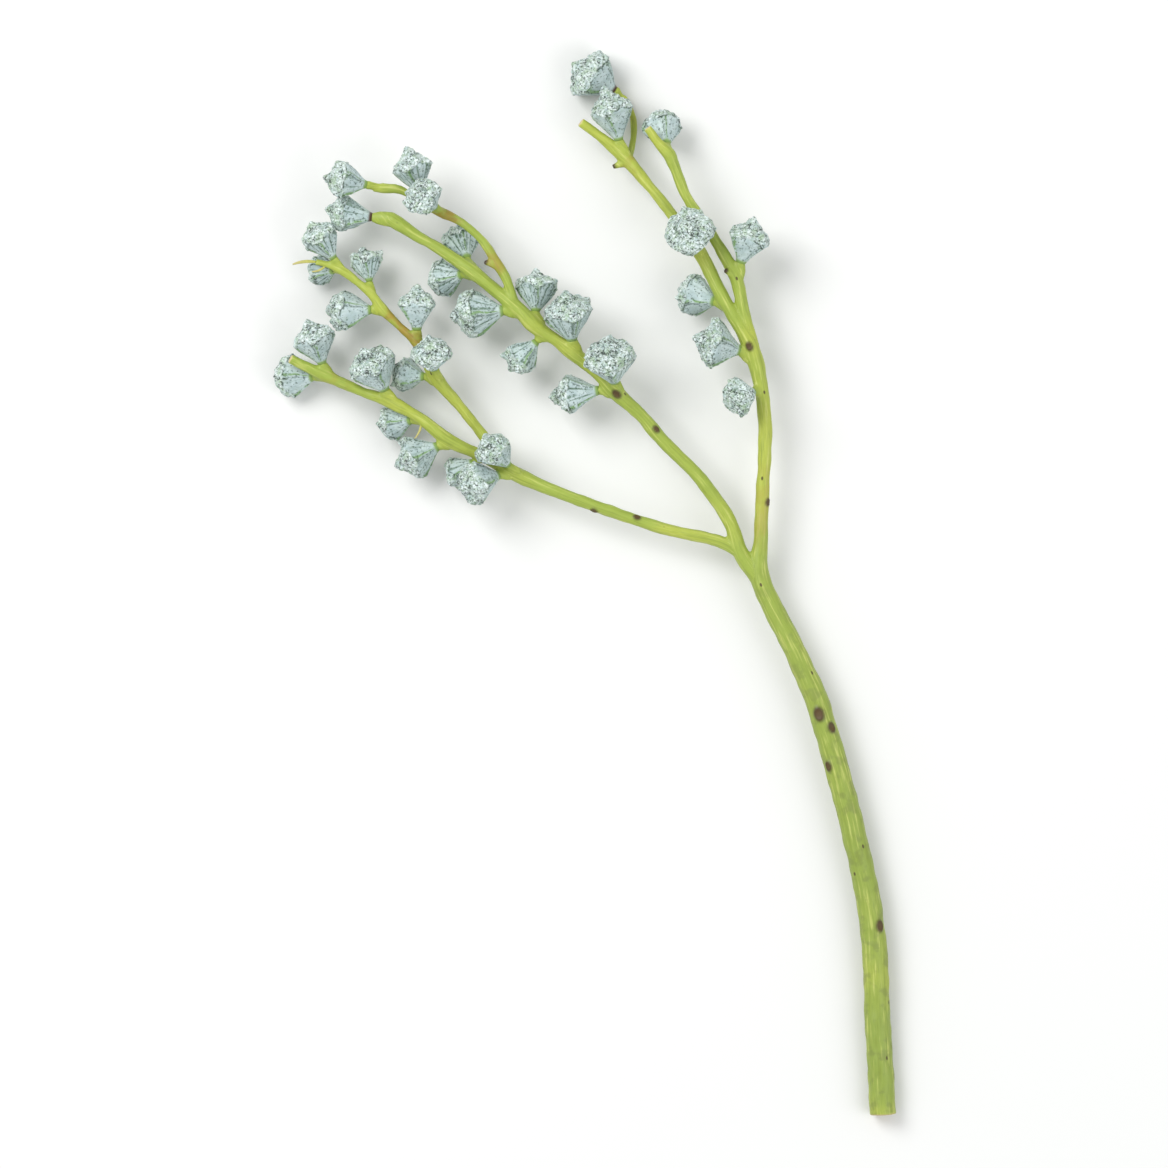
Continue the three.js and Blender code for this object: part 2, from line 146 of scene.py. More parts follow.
HORN_HALF_WIDTH = 1.3
HORN_HALF_HEIGHT = 1.5
HORN_OUT, HORN_UP = 0.55, 0.8  # the way that a horn points
KNOB_ASIDE = 0.055  # how far the knob may stand from the middle, beside the nut's width
KNOB_TIP = 0.1
COLLAR_HEIGHT = 0.84  # the ring round the knob's foot, on the nut's length
COLLAR_HALF_WIDTH = 0.03

# Height, radius, how ribbed and how warty, from the foot to the tip, of a nut with a full round cap
FULL_PROFILE = np.array([
    (0.00, FOOT_RADIUS, 0.0, 0.0),
    (0.05, 0.30, 0.3, 0.0),
    (0.14, 0.44, 0.7, 0.0),
    (0.32, 0.73, 1.0, 0.0),
    (0.47, 0.93, 0.9, 0.2),
    (0.55, 1.01, 0.5, 0.8),
    (0.66, 1.0, 0.2, 1.0),
    (0.75, 0.88, 0.1, 1.0),
    (0.81, 0.63, 0.0, 0.9),
    (0.845, 0.41, 0.0, 0.5),
    (0.89, 0.30, 0.0, 0.3),
    (0.94, 0.20, 0.0, 0.2),
    (0.98, 0.10, 0.0, 0.2),
    (1.00, 0.00, 0.0, 0.1),
])

# The same for a nut whose cap slopes up to a point
PEAKED_PROFILE = np.array([
    (0.00, FOOT_RADIUS, 0.0, 0.0),
    (0.05, 0.29, 0.3, 0.0),
    (0.14, 0.41, 0.7, 0.0),
    (0.31, 0.69, 1.0, 0.0),
    (0.45, 0.92, 0.9, 0.2),
    (0.52, 1.01, 0.6, 0.8),
    (0.59, 0.96, 0.4, 1.0),
    (0.66, 0.81, 0.3, 1.0),
    (0.73, 0.60, 0.1, 0.9),
    (0.79, 0.44, 0.0, 0.5),
    (0.86, 0.31, 0.0, 0.3),
    (0.93, 0.18, 0.0, 0.2),
    (0.98, 0.08, 0.0, 0.2),
    (1.00, 0.00, 0.0, 0.1),
])

# Each limb's middle line from its root to its tip: x, y, height above the surface, and the radius there
LIMBS = {
    "trunk": [
        (139, -247, 5.7, 6.2), (137, -212, 6.5, 6.1), (134, -159, 8.5, 5.9), (126, -119, 10.5, 5.7),
        (119, -91, 12, 5.7), (112, -67, 13, 5.6), (106, -49, 13.8, 5.5), (95, -25, 14.6, 5),
        (82, 2, 15.5, 4.7), (82, 23, 16.5, 3.4), (83, 49, 18, 3.2), (84, 72, 19.5, 3.3),
        (82, 91, 21, 3.4), (77, 111, 22.5, 3.9), (66, 130, 22.5, 3.1), (53, 155, 21.5, 3.3),
        (42, 170, 20.5, 2.6), (31, 184, 19, 2.6), (22, 195, 17, 3), (18, 199, 16.3, 3.3),
        (9, 207, 17.5, 2.4), (-2, 215, 19, 2.1),
    ],
    "right": [
        (79, 110, 22.5, 2.6), (74, 126, 23, 2.7), (70, 143, 23.5, 3.3), (60, 161, 23.5, 2.6),
        (48, 179, 24, 2.5), (42, 193, 25.5, 2.6), (39, 200, 26.5, 3.1), (34, 205, 27.3, 2.3),
        (29, 212, 27.8, 2),
    ],
    "upper": [
        (83, -1, 15.5, 3.4), (77, 8, 16, 3.6), (72, 16, 16.6, 3.7), (67, 30, 17.6, 3.4),
        (54, 49, 19.5, 3.2), (37, 66, 21, 3.1), (26, 79, 22, 3), (15, 89, 23, 3.6),
        (5, 99, 23.6, 3), (-5, 107, 24, 3.5), (-14, 114, 24.4, 3), (-23, 120, 24.6, 3.8),
        (-31, 128, 24.6, 3.5), (-43, 138, 24, 3), (-53, 146, 23.3, 3.5), (-66, 155, 22.8, 2.7),
        (-78, 162, 22.3, 2.7), (-90, 170, 21.8, 3.4), (-91, 171.2, 21.8, 2.4),
    ],
    "side": [
        (-31, 126, 24.6, 2), (-36, 141, 26, 2.3), (-40, 148, 26.8, 2.6), (-47, 159, 27.6, 1.9),
        (-57, 168, 28.2, 1.9), (-67, 173, 28.4, 2.4), (-75, 177, 28.2, 2.2), (-85, 183, 27.6, 1.9),
        (-94, 184, 27, 2.4), (-98, 184, 26.8, 1.8),
    ],
    "lower": [
        (74, 13, 16.4, 2.6), (63, 20, 17, 2.9), (37, 26, 17.4, 2.8), (15, 33, 17.8, 2.8),
        (-10, 42, 18.2, 2.8), (-31, 51, 18.6, 3.4), (-48, 60, 18.6, 2.6), (-63, 67, 19, 3.2),
        (-76, 77, 19.4, 2.6), (-90, 85, 18.8, 3.1), (-104, 90, 17.6, 2.3), (-120, 97, 17.4, 3),
        (-131, 102, 18.8, 2.2), (-137, 105, 20, 2),
    ],
    "lower_side": [
        (-35, 53, 18.6, 2.2), (-47, 69, 13.5, 2.5), (-58, 83, 15.5, 2.5), (-69, 96, 18.5, 3.2),
        (-78, 112, 20, 2.4), (-86, 120, 20, 1.9), (-94, 128, 20, 2.4), (-99, 135, 20, 2.2),
        (-106, 141, 19.8, 1.8), (-113, 146, 19.6, 2.2), (-120, 149, 19.4, 1.6), (-125, 150, 19.4, 1.4),
    ],
    "top_twig": [
        (20, 197, 14.5, 1.8), (22, 204, 8, 1.5), (23, 212, 5, 1.5), (22, 220, 5.2, 1.5),
        (18.5, 226, 6.9, 1.9),
    ],
}
LIMBS = {name: np.array(line, dtype=float) for name, line in LIMBS.items()}

# Each nut: its limb, its place there counted in points of the line, the azimuth and rise of its axis, its
# width and length, how far its corners are turned, and how worn its wax is. Angles are in degrees.
NUTS = [
    ("side", 8, 168, 8, 16, 20, 10, 0.5),
    ("upper", 16.9, 172, -5, 17, 22, 40, 0.6),
    ("side", 6, 107, 5, 17, 22, 0, 0.35),
    ("side", 5, 140, 50, 17, 19, 20, 0.3),
    ("upper", 14, 108, -35, 16, 19, 30, 0.8),
    ("upper", 13.9, 190, -38, 16, 19, 0, 0.3),
    ("lower_side", 9, 123, 8, 15, 20, 15, 0.4),
    ("lower_side", 9, 178, -45, 13, 16, 50, 0.5),
    ("lower_side", 7, 100, -10, 13, 16, 5, 0.6),
    ("lower_side", 6, 182, -12, 17, 22, 25, 0.5),
    ("lower_side", 4, 90, 5, 18, 21, 45, 0.3),
    ("lower_side", 3, 100, 48, 17, 17, 0, 0.15),
    ("lower_side", 3, 172, -25, 15, 17, 35, 0.7),
    ("lower", 11, 109, 10, 18, 22, 12, 0.35),
    ("lower", 11, 180, -30, 18, 21, 0, 0.4),
    ("lower", 9, 117, 20, 20, 23, 30, 0.4),
    ("lower", 8, 186, -35, 15.6, 18, 5, 0.3),
    ("lower", 7, 206, -7, 18.5, 22, 20, 0.4),
    ("lower", 5.2, 200, 25, 18, 21, 0, 0.4),
    ("lower", 6, 220, -30, 15, 17, 40, 0.6),
    ("lower", 5, 135, 33, 15.8, 20, 15, 0.6),
    ("upper", 11, 88, -12, 17, 20, 0, 0.4),
    ("upper", 9, 98, 20, 21, 24, 25, 0.5),
    ("upper", 7, 102, 40, 22, 24, 10, 0.35),
    ("upper", 7.2, 187, -12, 18, 24, 45, 0.2),
    ("upper", 12, 186, -6, 20, 25, 0, 0.3),
    ("upper", 10.5, 226, -12, 15, 19, 20, 0.7),
    ("top_twig", 4, 144, 10, 24, 23, 15, 0.5),
    ("trunk", 19, 105, 10, 18, 26, 0, 0.8),
    ("right", 6, 104, -42, 17, 20, 30, 0.6),
    ("trunk", 15, 118, 60, 22, 22, 5, 0.25),
    ("right", 2, 70, 10, 20, 22, 20, 0.6),
    ("trunk", 14, 162, -30, 19, 21, 40, 0.3),
    ("trunk", 12.8, 165, 12, 21, 23, 0, 0.4),
    ("trunk", 12, 200, 45, 16, 17, 10, 0.5),
]
NUTS = [Nut(*nut) for nut in NUTS]
BROWN_FEET = (2, 28, 31)  # nuts whose foot has dried brown
POINTED = (3, 11, 14, 18, 25, 29, 32, 34)  # nuts whose cap slopes up to a tall point

# Leaf scars: limb, place, angle round the limb from its top in degrees, length
SCARS = [
    ("trunk", 2, 35, 6),
    ("trunk", 4.3, -40, 5),
    ("trunk", 5, 30, 5.5),
    ("trunk", 5.4, -10, 7),
    ("trunk", 9.6, 50, 4),
    ("trunk", 13, -10, 4.6),
    ("upper", 5.4, 20, 4),
    ("upper", 7, -8, 5),
    ("lower", 2.6, 30, 3.8),
    ("lower", 3.4, -50, 3.6),
]

# Broken stubs of lost twigs: limb, place, azimuth, rise, length, radius
STUBS = [
    ("side", 2, 165, 10, 5.5, 1.3),
    ("right", 2, 150, 35, 5.5, 1.3),
    ("trunk", 18.4, 200, 5, 6, 1.3),
]

# Dried leaf remnants: limb, place, azimuth, rise, length, width, bend to the side
LEAVES = [
    ("lower_side", 11, 172, 8, 11, 2.2, 30),
    ("lower_side", 10, 235, 0, 8, 1.6, -60),
    ("lower", 8, 275, 10, 10, 1.6, -50),
]

# Ends that were cut: limb, place
CUT_ENDS = [("trunk", 0), ("trunk", 21), ("right", 8), ("lower", 13)]

# Stretches of bark that have turned ochre brown: limb, first and last place, how much
BROWNED = [
    ("side", 1.6, 2.6, 0.6),
    ("side", 4.1, 5.3, 0.9),
    ("lower_side", 3.5, 5.8, 1.0),
    ("top_twig", 2.6, 3.6, 0.6),
    ("trunk", 17.6, 18.6, 0.4),
    ("lower", 10.4, 11.2, 0.3),
    ("trunk", 8.8, 10.2, 0.3),
]


# Shapes of the stem


def draw(a, b):
    """The same draw between 0 and 1 for the same pair of whole numbers."""
    return ((a * 7919 + b * 6151 + a * b * 37) % 997) / 997


def ease(value, start, full):
    """A soft step: 0 at the start and before it, 1 where it is full and after that."""
    share = np.clip((value - start) / (full - start), 0, 1)
    return share * share * (3 - 2 * share)


def towards(azimuth, rise):
    """The direction with that azimuth seen from above and that rise, both in degrees."""
    turn, lift = math.radians(azimuth), math.radians(rise)
    return np.array([math.cos(lift) * math.cos(turn), math.cos(lift) * math.sin(turn), math.sin(lift)])


def unit(vector):
    return vector / np.linalg.norm(vector)


def curve_at(points, place):
    """A point on the smooth curve through all the points, at a place counted in points."""
    last = len(points) - 1
    i = min(int(place), last - 1)
    f = place - i
    here, following = points[i], points[i + 1]
    before = points[i - 1] if i > 0 else 2 * here - following
    after = points[i + 2] if i + 2 <= last else 2 * following - here
    slope, end_slope = (following - before) / 2, (after - here) / 2
    return (
        here * (2 * f**3 - 3 * f**2 + 1)
        + slope * (f**3 - 2 * f**2 + f)
        + following * (3 * f**2 - 2 * f**3)
        + end_slope * (f**3 - f**2)
    )


def limb_at(name, place):
    """Point, direction and radius of a limb."""
    line = LIMBS[name]
    here = curve_at(line, place)
    back = curve_at(line, max(place - 0.02, 0))
    ahead = curve_at(line, min(place + 0.02, len(line) - 1))
    return here[:3], unit(ahead[:3] - back[:3]), here[3]


def across(direction, wish):
    """Two directions square to the given one, the first as near to the wish as it can be."""
    first = unit(wish - direction * np.dot(direction, wish))
    return first, np.cross(direction, first)


def ring(centre, sideways, half_first, half_second, sides):
    """Points round an oval with those half widths in the two sideways directions."""
    angle = (np.arange(sides) + 0.5) / sides * FULL_TURN
    first, second = sideways
    along_first = np.outer(np.cos(angle) * half_first, first)
    return centre + along_first + np.outer(np.sin(angle) * half_second, second)


def loft(rings):
    """Points and faces of the closed skin over a row of rings."""
    sides = len(rings[0])
    points = np.concatenate(rings)
    faces = []
    for j in range(len(rings) - 1):
        for k in range(sides):
            a, b = j * sides + k, j * sides + (k + 1) % sides
            faces.append((a, b, b + sides, a + sides))
    faces.append(tuple(range(sides))[::-1])
    faces.append(tuple(range(len(points) - sides, len(points))))
    return points, faces


def together(shapes):
    """Several shapes as one list of points and one of faces."""
    points, faces, start = [], [], 0
    for shape_points, shape_faces in shapes:
        points.append(shape_points)
        faces += [tuple(i + start for i in face) for face in shape_faces]
        start += len(shape_points)
    return np.concatenate(points), faces


def limb_places(name, step):
    """Places along a limb, about a step of millimetres apart."""
    line = LIMBS[name]
    places = []
    for i in range(len(line) - 1):
        count = max(1, round(float(np.linalg.norm(line[i + 1][:3] - line[i][:3])) / step))
        places += [i + k / count for k in range(count)]
    return places + [len(line) - 1]


def limb_shape(name, seed):
    """A limb, a little uneven round its middle line as grown wood is."""
    rings = []
    for number, place in enumerate(limb_places(name, LIMB_STEP)):
        point, tangent, radius = limb_at(name, place)
        swell = 1 + LIMB_SWELL * math.sin(number * 1.7 + seed)
        rings.append(ring(point, across(tangent, UP), radius * swell, radius * (2 - swell), LIMB_SIDES))
    return loft(rings)


def seat(nut):
    """Where a nut sits: its place on the limb, its own axis, the branch's skin below it and its foot."""
    point, tangent, radius = limb_at(nut.limb, nut.place)
    axis = towards(nut.azimuth, nut.rise)
    lean = math.sqrt(1 - np.dot(axis, tangent) ** 2)
    skin = radius / max(lean, LEAST_LEAN)
    return Seat(point, tangent, radius, axis, lean, skin, point + axis * (skin + STALK_LENGTH))


def stalk_shape(nut):
    """The flared stalk under a nut: wide along the branch at its root, round under the nut."""
    point, tangent, radius, axis, lean, skin, foot = seat(nut)
    root = radius * (STALK_LEAST_SPREAD + (STALK_SPREAD - STALK_LEAST_SPREAD) * lean)
    neck = nut.width / 2 * FOOT_RADIUS * STALK_NECK
    top = foot - axis * NUT_CLEARANCE
    # Each station's middle, and its half widths along the branch and across it
    stations = [
        (point, root, radius * 0.7),
        (point + axis * skin * 0.6, root * 0.9, radius * 0.72),
        (point + axis * skin * 0.92, root * 0.55 + neck * 0.45, (radius * 0.6 + neck) / 2),
        (point + axis * (skin + 0.35 * STALK_LENGTH), neck * 1.12, neck * 0.96),
        (top - axis * 0.5, neck * 1.02, neck),
        (top, neck * 0.98, neck * 0.96),
    ]
    sideways = across(axis, tangent)
    return loft([ring(centre, sideways, long, short, STALK_SIDES) for centre, long, short in stations])


def stub_reach(stub):
    """A stub's root in the middle of its limb, and the way from there to its tip."""
    limb, place, azimuth, rise, length, _ = stub
    point, _, limb_radius = limb_at(limb, place)
    return point, towards(azimuth, rise), length + limb_radius * STUB_ROOT


def stub_shape(stub):
    """A broken stub, thick at its root."""
    point, axis, reach = stub_reach(stub)
    sideways, radius = across(axis, UP), stub[-1]
    rings = [
        ring(point + axis * reach * share, sideways, radius * wide, radius * wide, STALK_SIDES)
        for share, wide in STUB_PROFILE
    ]
    return loft(rings)


def leaf_shape(leaf):
    """A narrow blade that is widest before its middle, tapers, and bends evenly to one side."""
    limb, place, azimuth, rise, length, width, bend = leaf
    centre, _, _ = limb_at(limb, place)
    rings = []
    for k in range(LEAF_STEPS + 1):
        f = k / LEAF_STEPS
        axis = towards(azimuth + bend * f, rise * (1 - f))
        half = width / 2 * (0.45 + 1.1 * f - 1.25 * f * f)
        thick = LEAF_THICKNESS / 2 * (1 - LEAF_THINNING * f)
        rings.append(ring(centre, across(axis, UP), thick, max(half, thick), LEAF_SIDES))
        centre = centre + axis * (length / LEAF_STEPS)
    return loft(rings)


# Meshes and pieces


def make_piece(name, points, faces, masks, material, slot, nodes):
    """A shown piece from points in millimetres, with its material's masks, in the place of its CAD nodes."""
    mesh = bpy.data.meshes.new(name)
    mesh.from_pydata((points * MM).tolist(), [], faces)
    mesh.shade_smooth()
    for mask, values in masks.items():
        kind, key = ("FLOAT_VECTOR", "vector") if values.ndim == 2 else ("FLOAT", "value")
        mesh.attributes.new(mask, kind, "POINT").data.foreach_set(key, values.astype(np.float32).ravel())
    mesh.materials.append(material)
    piece = bpy.data.objects.new(name, mesh)
    bpy.context.scene.collection.objects.link(piece)
    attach(piece, "root")
    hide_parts(*nodes)


def grown_together(points, faces):
    """One even skin over overlapping closed shapes, as points, faces and edges."""
    rough = bpy.data.meshes.new("rough")
    rough.from_pydata(points.tolist(), [], faces)
    holder = bpy.data.objects.new("rough", rough)
    bpy.context.scene.collection.objects.link(holder)
    skin = holder.modifiers.new("skin", "REMESH")
    skin.mode = "VOXEL"
    skin.voxel_size = SKIN_CELL
    done = bpy.data.meshes.new_from_object(holder.evaluated_get(bpy.context.evaluated_depsgraph_get()))
    bpy.data.objects.remove(holder)
    bpy.data.meshes.remove(rough)
    flat = np.empty(len(done.vertices) * 3)
    done.vertices.foreach_get("co", flat)
    edges = np.empty(len(done.edges) * 2, dtype=int)
    done.edges.foreach_get("vertices", edges)
    skin_faces = [tuple(face.vertices) for face in done.polygons]
    bpy.data.meshes.remove(done)
    return flat.reshape(-1, 3), skin_faces, edges.reshape(-1, 2)


def relax(points, edges, rounds):
    """Evens out the steps in a mesh without shrinking it."""
    count = np.bincount(edges.ravel(), minlength=len(points))
    a, b = edges.T
    for weight in SMOOTHING * rounds:
        mean = np.empty_like(points)
        for axis in range(3):
            to_a = np.bincount(a, points[b, axis], len(points))
            to_b = np.bincount(b, points[a, axis], len(points))
            mean[:, axis] = (to_a + to_b) / count
        points = points + weight * (mean - points)
    return points


def ripple(points, wavelength, seed, terms=7):
    """Smooth unevenness between about -1 and 1, with bumps a wavelength apart."""
    random = np.random.default_rng(seed)
    total = np.zeros(len(points))
    for _ in range(terms):
        direction = unit(random.normal(size=3)) * random.uniform(0.7, 1.4)
        total += np.cos(points @ direction * (FULL_TURN / wavelength) + random.uniform(0, FULL_TURN))
    return total / math.sqrt(terms)


# The bark


def limb_samples():
    """Places close together on every limb's middle line: limb, place, point, direction and radius of each."""
    stops = [(name, place) for name in LIMBS for place in limb_places(name, GRAIN_STEP)]
    names, places = (np.array(column) for column in zip(*stops))
    middle, ahead, radius = (np.array(column) for column in zip(*(limb_at(*stop) for stop in stops)))
    return names, places, middle, ahead, radius


def nearest_samples(points, names, middle, radius):
    """For each point, the sample of the limb whose skin is nearest."""
    near = np.zeros(len(points), dtype=int)
    least = np.full(len(points), np.inf)
    for name in LIMBS:
        own = np.flatnonzero(names == name)
        for start in range(0, len(points), GRAIN_BLOCK):
            block = slice(start, start + GRAIN_BLOCK)
            closest = own[((middle[own] ** 2).sum(1) - 2 * points[block] @ middle[own].T).argmin(axis=1)]
            outside = np.linalg.norm(points[block] - middle[closest], axis=1) - radius[closest]
            better = outside < least[block]
            near[block] = np.where(better, closest, near[block])
            least[block] = np.where(better, outside, least[block])
    return near


def along_the_grain(points, near, middle, ahead):
    """Where each point is in its limb, sideways, up and along it, and the way out of the bark there."""
    first = np.array([across(direction, UP)[0] for direction in ahead])
    second = np.cross(ahead, first)
    run = np.concatenate([[0], np.cumsum(np.linalg.norm(np.diff(middle, axis=0), axis=1))])
    offset = points - middle[near]
    forward = (offset * ahead[near]).sum(1)
    sideways, upwards = (offset * first[near]).sum(1), (offset * second[near]).sum(1)
    outward = offset - ahead[near] * forward[:, None]
    outward /= np.maximum(np.linalg.norm(outward, axis=1), THIN_CORE)[:, None]
    return np.stack([sideways, upwards, run[near] + forward], axis=1), outward


def leaf_scars(points):
    """Raises a rim round a flat oval at each leaf scar, and gives masks for the ovals and the rims."""
    scar, rim = np.zeros(len(points)), np.zeros(len(points))
    for limb, place, angle, size in SCARS:
        point, tangent, limb_radius = limb_at(limb, place)
        up, side = across(tangent, UP)
        out = up * math.cos(math.radians(angle)) + side * math.sin(math.radians(angle))
        local = points - (point + out * limb_radius)
        long = local @ tangent / (size / 2)
        wide = local @ np.cross(out, tangent) / (size * SCAR_HALF_WIDTH)
        oval = np.hypot(long, wide)
        facing = ease(local @ out, -2.2, -1.4)
        lift = SCAR_RIM_RISE * np.exp(-(((oval - 0.85) / 0.25) ** 2)) + SCAR_FLOOR_RISE * ease(oval, 1.0, 0.7)
        points = points + out * (lift * facing)[:, None]
        scar = np.maximum(scar, ease(oval, 1.0, 0.75) * facing)
        rim = np.maximum(rim, np.exp(-(((oval - 0.9) / 0.28) ** 2)) * facing)
    return points, scar, rim


def browned_bark(limb_of, place_of):
    """Mask of the bark that has turned ochre brown."""
    browned = np.zeros(len(place_of))
    for limb, low, high, much in BROWNED:
        begun = ease(place_of, low - BROWN_FADE, low + BROWN_FADE)
        unended = ease(place_of, high + BROWN_FADE, high - BROWN_FADE)
        browned = np.maximum(browned, (limb_of == limb) * begun * unended * much)
    return browned


def cut_faces(points):
    """Mask of the flat faces where the stem and its tips were cut."""
    cut = np.zeros(len(points))
    for name, place in CUT_ENDS:
        point, tangent, limb_radius = limb_at(name, place)
        along = (points - point) @ (tangent if place else -tangent)
        close = np.linalg.norm(points - point, axis=1) < limb_radius * CUT_REACH
        cut = np.maximum(cut, close * ease(along, *CUT_DEPTH))
    return cut


def close_to(points, places, start, full):
    """Mask that grows from the start distance to the full one towards the nearest of the places."""
    mask = np.zeros(len(points))
    for place in places:
        mask = np.maximum(mask, ease(np.linalg.norm(points - place, axis=1), start, full))
    return mask


def build_stem(material):
    """The whole stem in one skin, with the bark's relief and the masks for its colours."""
    shapes = [limb_shape(name, seed) for seed, name in enumerate(LIMBS)]
    shapes += [stalk_shape(nut) for nut in NUTS] + [stub_shape(stub) for stub in STUBS]
    points, faces, edges = grown_together(*together(shapes))
    points = relax(points, edges, SMOOTHING_ROUNDS)

    names, places, middle, ahead, radius = limb_samples()
    near = nearest_samples(points, names, middle, radius)
    grain, outward = along_the_grain(points, near, middle, ahead)
    waves = sum(height * ripple(points, length, seed) for height, length, seed in UNEVENNESS)
    points = points + outward * waves[:, None]
    points, scar, rim = leaf_scars(points)

    stub_tips = [point + axis * reach for point, axis, reach in map(stub_reach, STUBS)]
    masks = {
        "grain": grain,
        "browned": browned_bark(names[near], places[near]),
        "scar": scar,
        "rim": rim,
        "cut": cut_faces(points),
        "broken": close_to(points, stub_tips, *BROKEN_REACH),
        "neck": close_to(points, [seat(nut).foot for nut in NUTS], *NECK_REACH),
        # Older bark on the thick wood, darker partly as painted shade
        "age": ease(radius[near], *AGED_AND_SHADED_RADIUS),
    }
    points[:, 2] = np.maximum(points[:, 2], 0)
    make_piece("stem_bark", points, faces, masks, material, "bark", ["stem"])


# Gum nuts

AROUND = np.arange(NUT_SIDES)[None] / NUT_SIDES * FULL_TURN  # the angle round a nut at each point of a row
SIDEWAYS = np.stack([np.cos(AROUND), np.sin(AROUND), 0 * AROUND], axis=2)
GRID = (NUT_ROWS, NUT_SIDES)


def bump(distance, half_width, power=2):
    """1 at no distance, and falling off softly on both sides."""
    return np.exp(-((np.abs(distance) / half_width) ** power))


def profile_rows():
    """The two profiles in rows of even spacing, closer at the cap's edge and over the cap."""
    places = np.linspace(0, len(FULL_PROFILE) - 1, 1200)
    fine = np.array([curve_at(FULL_PROFILE, place) for place in places])
    step = np.hypot(np.diff(fine[:, 0]) * USUAL_LENGTH, np.diff(fine[:, 1]) * USUAL_HALF_WIDTH)
    height = fine[1:, 0]
    weight = 1 + 1.6 * bump(height - RIM_HEIGHT, 0.05) + 0.5 * (height > RIM_HEIGHT)
    run = np.concatenate([[0], np.cumsum(step * weight)])
    rows = np.interp(np.linspace(0, run[-1], NUT_ROWS + 1)[:-1], run, places)
    profiles = (FULL_PROFILE, PEAKED_PROFILE)
    return [np.array([curve_at(profile, place) for place in rows]) for profile in profiles]


def ribbed_body(nut, number, height, radius, ribbed):
    """The smooth nut: four thin ribs that wander a little, on a rounded square.

    Gives the grid of points, the way out of the skin at each, and its degrees from the nearest rib.
    """
    half = nut.width / 2
    degrees = np.degrees(AROUND) + 45
    wander = sum(most * np.sin(height * often + number * change) for most, often, change in RIB_WANDER)
    from_rib = (degrees + wander) % 90 - 45
    crest = bump(from_rib, RIB_HALF_ANGLE, 1.3)
    corner = CORNER_RISE * bump(degrees % 90 - 45, CORNER_HALF_ANGLE)
    on_face = (1 - np.cos(4 * AROUND)) / 2
    r = radius * (1 + ribbed * (RIB_RISE * crest - FACE_HOLLOW * on_face + corner)) * half
    grid = r[..., None] * SIDEWAYS + (height * nut.length)[..., None] * UP

    rise, spread = np.gradient(height[:, 0] * nut.length), np.gradient(radius[:, 0] * half)
    steep, shallow = (side[:, None, None] / np.hypot(rise, spread)[:, None, None] for side in (rise, -spread))
    return grid, steep * SIDEWAYS + shallow * UP, from_rib


def cap_edge(nut, number, flat, height, from_rib):
    """Masks for the cap, the crease at its edge, the lip above that, and where specks may be.

    The edge arches over each smooth side and comes down at the ribs.
    """
    edge = RIM_HEIGHT * nut.length - EDGE_ARCH * np.cos(4 * AROUND) + EDGE_SLANT * np.sin(3 * AROUND + number)
    edge = edge + EDGE_JAGS * ripple(flat, 3.5, 400 + number).reshape(GRID)
    above = height * nut.length - edge
    cap = ease(above, -0.15, 0.35)
    crease = bump(above, CREASE_HALF_WIDTH) * ease(ripple(flat, 5, 500 + number).reshape(GRID), -0.6, 0.6)
    lip = LIP_RISE * bump(above - LIP_LEVEL, LIP_HALF_HEIGHT)
    strayed = above + SPECKS_BELOW * bump(from_rib, SPECKS_HALF_ANGLE)
    strayed = strayed + 0.6 * ripple(flat, 2.5, 600 + number).reshape(GRID)
    return cap, crease, lip, ease(strayed, -0.9, 0.9) * ease(height, 0.08, 0.3)


def cap_warts(flat, cap, random):
    """Warts as cells with furrows between them: how high each point stands, and how deep in a furrow."""
    on_cap = (cap > 0.5).ravel()
    skin = flat[on_cap]
    centres = []
    for candidate in random.permutation(len(skin))[:WART_TRIES]:
        point = skin[candidate]
        if all(np.dot(point - other, point - other) > WART_SPACING**2 for other in centres):
            centres.append(point)
    apart = np.linalg.norm(skin[:, None] - np.array(centres)[None], axis=2)
    order = np.argsort(apart, axis=1)[:, :2]
    nearest, second = np.take_along_axis(apart, order, axis=1).T
    gap, size = np.zeros(len(flat)), np.zeros(len(flat))
    gap[on_cap] = second - nearest
    size[on_cap] = random.uniform(0, 1, len(centres))[order[:, 0]]
    wart = (ease(gap, *WART_SLOPE) * size).reshape(GRID) * cap
    return wart, ease(gap, *FURROW_SLOPE).reshape(GRID) * cap


def shoulder_bosses(flat, height, random):
    """Larger lumps here and there among the warts, in millimetres."""
    on_shoulder = np.flatnonzero(((height > 0.6) & (height < 0.9)).repeat(NUT_SIDES, axis=1).ravel())
    boss = np.zeros(len(flat))
    for centre in random.choice(on_shoulder, BOSSES):
        apart = np.linalg.norm(flat - flat[centre], axis=1)
        boss += random.uniform(*BOSS_RISE) * bump(apart, random.uniform(*BOSS_RADIUS))
    return boss.reshape(GRID)


def base_folds(height, random):
    """Folds that run up the base, as one wave round the nut that drifts with the height."""
    wave = np.zeros(GRID)
    for i, count in enumerate(FOLD_COUNTS):
        turn = random.uniform(0, 6.28)
        drift = random.uniform(-FOLD_DRIFT, FOLD_DRIFT) * height
        wave = wave + FOLD_FADE**i * np.cos(count * AROUND + turn + drift)
    return wave


def cap_horns(nut, number, height, peak, random):
    """A horn on each corner of the cap, from nearly nothing to a full one."""
    horn = np.zeros(GRID)
    for corner in range(4):
        strength = HORN_LEAST + (1 - HORN_LEAST) * draw(number, corner + 1) ** 1.3
        turn = np.degrees(AROUND) - 90 * corner - random.uniform(-HORN_STRAY, HORN_STRAY)
        arc = np.radians((turn + 180) % 360 - 180) * nut.width / 2
        level = (height - random.uniform(*HORN_LEVEL) + HORN_LEVEL_PEAKED * peak) * nut.length
        horn += strength * bump(arc, HORN_HALF_WIDTH, 1.4) * bump(level, HORN_HALF_HEIGHT, 1.4)
    return horn


